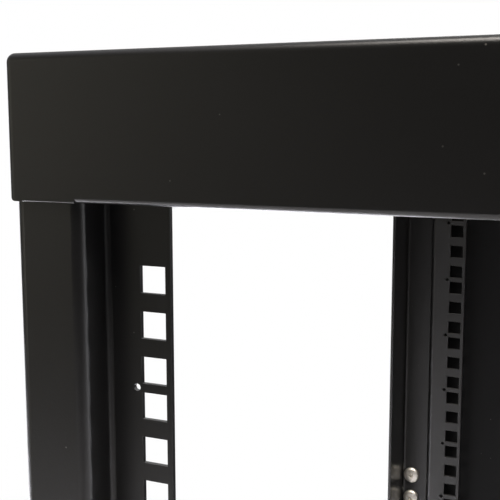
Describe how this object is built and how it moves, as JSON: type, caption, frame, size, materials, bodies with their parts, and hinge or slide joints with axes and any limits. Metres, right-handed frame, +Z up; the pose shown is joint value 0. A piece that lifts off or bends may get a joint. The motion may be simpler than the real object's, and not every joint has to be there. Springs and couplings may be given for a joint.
{
  "type": "four post open frame rack",
  "caption": "Open frame equipment rack of folded black sheet steel: recessed square-hole mounting flanges, wrap-around cross beams, side rails, levelling feet and a plain back panel.",
  "frame": {"origin": "on the floor under the middle of the rack's outer box", "axes": "+Z up, the front faces -Y, +X to the right seen from the front"},
  "size_m": [0.5562, 0.536, 0.7],
  "materials": {
    "powder_coat": "black satin powder coat with a fine grain",
    "panel_coat": "smooth black semi-gloss coat",
    "zinc_steel": "bright zinc plating",
    "pad_plastic": "matte moulded plastic"
  },
  "bodies": {
    "root": {"front_left_post": "powder_coat", "front_right_post": "powder_coat", "rear_left_post": "powder_coat", "rear_right_post": "powder_coat", "front_top_beam": "powder_coat", "front_bottom_beam": "powder_coat", "rear_top_beam": "powder_coat", "rear_bottom_beam": "powder_coat", "left_top_rail": "powder_coat", "left_bottom_rail": "powder_coat", "right_top_rail": "powder_coat", "right_bottom_rail": "powder_coat", "front_left_lock_nut": "zinc_steel", "front_left_foot_stud": "zinc_steel", "front_left_foot_pad": "pad_plastic", "front_right_lock_nut": "zinc_steel", "front_right_foot_stud": "zinc_steel", "front_right_foot_pad": "pad_plastic", "rear_left_lock_nut": "zinc_steel", "rear_left_foot_stud": "zinc_steel", "rear_left_foot_pad": "pad_plastic", "rear_right_lock_nut": "zinc_steel", "rear_right_foot_stud": "zinc_steel", "rear_right_foot_pad": "pad_plastic", "back_panel": "panel_coat"}
  },
  "joints": []
}
